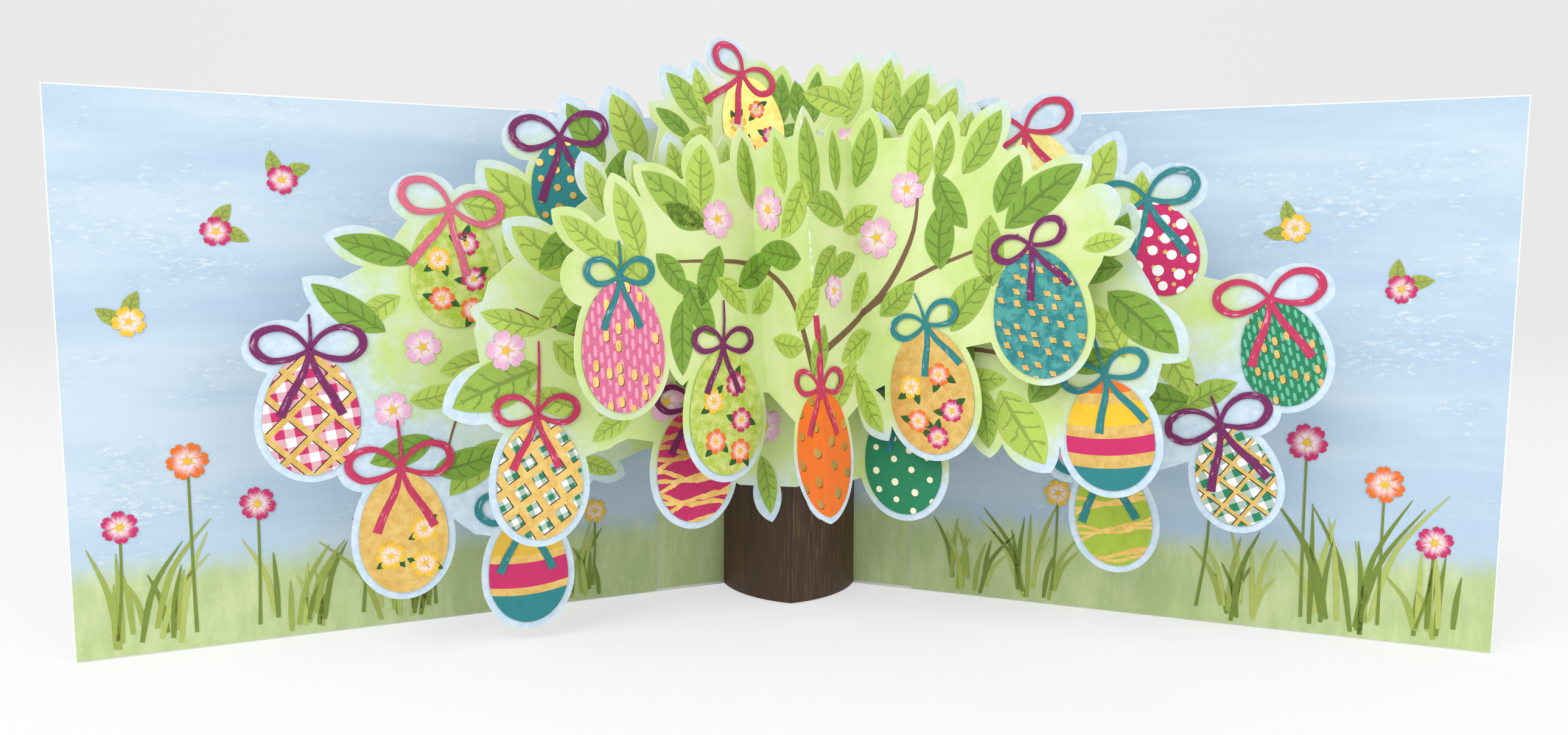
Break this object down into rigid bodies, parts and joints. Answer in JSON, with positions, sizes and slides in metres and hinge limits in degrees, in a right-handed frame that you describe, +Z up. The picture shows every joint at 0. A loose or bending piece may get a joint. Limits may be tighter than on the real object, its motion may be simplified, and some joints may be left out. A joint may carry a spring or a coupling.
{
  "type": "pop-up greeting card",
  "caption": "Folded pop-up greeting card standing open, with a paper tree of layered die-cut sheets hung with decorated eggs.",
  "frame": {"origin": "inner face of the cover's fold, at its foot", "axes": "+X to the reader's right across the open card, the card opens towards -Y, +Z up along the fold"},
  "size_m": [0.3226, 0.0879, 0.1421],
  "materials": {
    "cover_card": "satin white outside",
    "page_paper": "matt coated, printed",
    "trunk_paper": "matt coated, printed",
    "canopy_paper": "matt coated, printed, with gold foil",
    "strut_paper": "uncoated white"
  },
  "bodies": {
    "root": {"cover": "cover_card", "left_page": "page_paper", "right_page": "page_paper", "centre_strip": "page_paper", "trunk": "trunk_paper", "back_canopy": "canopy_paper", "crown": "canopy_paper", "middle_canopy": "canopy_paper", "front_canopy": "canopy_paper", "left_page_strut": "strut_paper", "right_page_strut": "strut_paper", "left_middle_strut": "strut_paper", "right_middle_strut": "strut_paper", "left_front_strut": "strut_paper", "right_front_strut": "strut_paper", "left_crown_strut": "strut_paper", "right_crown_strut": "strut_paper"}
  },
  "joints": []
}
